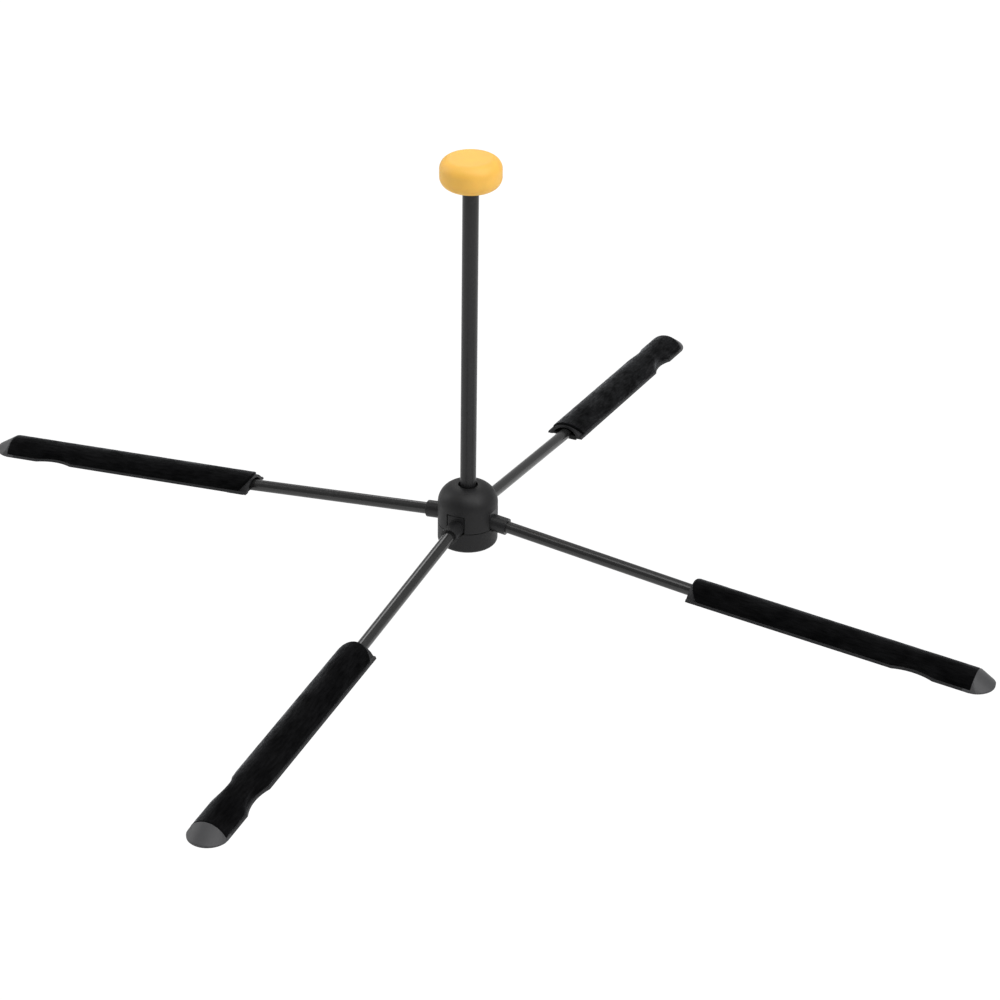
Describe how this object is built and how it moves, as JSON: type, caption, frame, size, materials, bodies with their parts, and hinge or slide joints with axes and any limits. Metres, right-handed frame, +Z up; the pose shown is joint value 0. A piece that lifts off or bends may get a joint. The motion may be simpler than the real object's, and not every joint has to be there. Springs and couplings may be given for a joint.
{
  "type": "trumpet stand",
  "caption": "Folding in-bell stand for a trumpet: a soft-capped post in a domed hub, with hinged rod legs that end in sliding velvet-covered pads.",
  "frame": {"origin": "on the floor, on the post's axis, midway between the toes", "axes": "+Z up along the post, +X along leg 1, +Y along leg 2; the legs are at right angles"},
  "size_m": [0.4402, 0.4402, 0.1746],
  "materials": {
    "hub_black": "satin, fine moulded grain",
    "post_black": "satin powder coat",
    "rod_black": "satin powder coat",
    "knuckle_black": "satin",
    "core_black": "matte",
    "shell_black": "satin",
    "toe_grey": "satin",
    "cap_yellow": "smooth soft rubber",
    "velvet": "short-pile flock",
    "steel": "plated"
  },
  "bodies": {
    "hub": {"hub_dome": "hub_black", "post_bush": "core_black", "clamp_screws": "steel", "pin_clamp_1": "core_black", "pin_clamp_2": "core_black", "pin_clamp_3": "core_black", "pin_clamp_4": "core_black", "pivot_pin_1": "steel", "pivot_pin_2": "steel", "pivot_pin_3": "steel", "pivot_pin_4": "steel"},
    "post": {"post": "post_black", "cap": "cap_yellow", "cap_core": "core_black", "base_ring": "hub_black", "ring_screw": "steel", "ring_washer": "steel"},
    "leg_1": {"knuckle_1": "knuckle_black", "leg_rod_1": "rod_black", "rod_stop_1": "core_black"},
    "leg_2": {"knuckle_2": "knuckle_black", "leg_rod_2": "rod_black", "rod_stop_2": "core_black"},
    "leg_3": {"knuckle_3": "knuckle_black", "leg_rod_3": "rod_black", "rod_stop_3": "core_black"},
    "leg_4": {"knuckle_4": "knuckle_black", "leg_rod_4": "rod_black", "rod_stop_4": "core_black"},
    "pad_1": {"pad_shell_1": "shell_black", "pad_velvet_1": "velvet", "pad_toe_1": "toe_grey", "rod_guide_1": "core_black"},
    "pad_2": {"pad_shell_2": "shell_black", "pad_velvet_2": "velvet", "pad_toe_2": "toe_grey", "rod_guide_2": "core_black"},
    "pad_3": {"pad_shell_3": "shell_black", "pad_velvet_3": "velvet", "pad_toe_3": "toe_grey", "rod_guide_3": "core_black"},
    "pad_4": {"pad_shell_4": "shell_black", "pad_velvet_4": "velvet", "pad_toe_4": "toe_grey", "rod_guide_4": "core_black"}
  },
  "joints": [
    {"name": "post_slide", "type": "slide", "parent": "hub", "child": "post", "axis": [0, 0, 1], "range_m": [-0.1278, 0]},
    {"name": "leg_1_fold", "type": "hinge", "parent": "hub", "child": "leg_1", "pos_m": [0.008, 0, 0.02036], "axis": [0, 1, 0], "range_deg": [0, 81.5]},
    {"name": "leg_2_fold", "type": "hinge", "parent": "hub", "child": "leg_2", "pos_m": [0, 0.008, 0.02036], "axis": [-1, 0, 0], "range_deg": [0, 81.5]},
    {"name": "leg_3_fold", "type": "hinge", "parent": "hub", "child": "leg_3", "pos_m": [-0.008, 0, 0.02036], "axis": [0, -1, 0], "range_deg": [0, 81.5]},
    {"name": "leg_4_fold", "type": "hinge", "parent": "hub", "child": "leg_4", "pos_m": [0, -0.008, 0.02036], "axis": [1, 0, 0], "range_deg": [0, 81.5]},
    {"name": "pad_1_slide", "type": "slide", "parent": "leg_1", "child": "pad_1", "axis": [0.9942, 0, -0.108], "range_m": [-0.056, 0]},
    {"name": "pad_2_slide", "type": "slide", "parent": "leg_2", "child": "pad_2", "axis": [0, 0.9942, -0.108], "range_m": [-0.056, 0]},
    {"name": "pad_3_slide", "type": "slide", "parent": "leg_3", "child": "pad_3", "axis": [-0.9942, 0, -0.108], "range_m": [-0.056, 0]},
    {"name": "pad_4_slide", "type": "slide", "parent": "leg_4", "child": "pad_4", "axis": [0, -0.9942, -0.108], "range_m": [-0.056, 0]}
  ],
  "couplings": [
    {"joint": "leg_1_fold", "follows": "post_slide", "rad_per_m": -11.13},
    {"joint": "leg_2_fold", "follows": "post_slide", "rad_per_m": -11.13},
    {"joint": "leg_3_fold", "follows": "post_slide", "rad_per_m": -11.13},
    {"joint": "leg_4_fold", "follows": "post_slide", "rad_per_m": -11.13}
  ]
}
